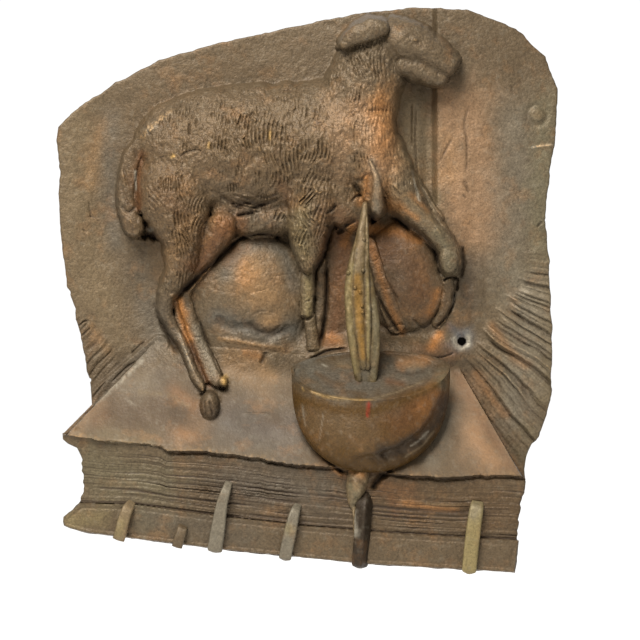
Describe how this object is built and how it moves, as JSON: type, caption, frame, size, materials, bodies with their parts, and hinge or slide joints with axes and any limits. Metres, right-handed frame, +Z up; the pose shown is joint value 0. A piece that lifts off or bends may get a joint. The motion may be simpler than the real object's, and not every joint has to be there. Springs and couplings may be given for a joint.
{
  "type": "relief plaque",
  "caption": "Cast bronze wall relief with a ragged back plate: a fleeced lamb stands on a closed book tied with ribbons while a stream falls from its breast into a round cup.",
  "frame": {"origin": "a point on the flat back face, behind the lamb's near foreleg, where the plaque lies on the wall", "axes": "+Y points back into the wall, the relief faces -Y, +X is to the right of someone facing the relief, +Z is up"},
  "size_m": [0.3528, 0.0755, 0.3992],
  "materials": {
    "patinated_bronze": "brown patinated cast bronze, semi-matte, with ochre rubs, grey-green hollows and golden worn edges"
  },
  "bodies": {
    "root": {"relief_plaque": "patinated_bronze"}
  },
  "joints": []
}
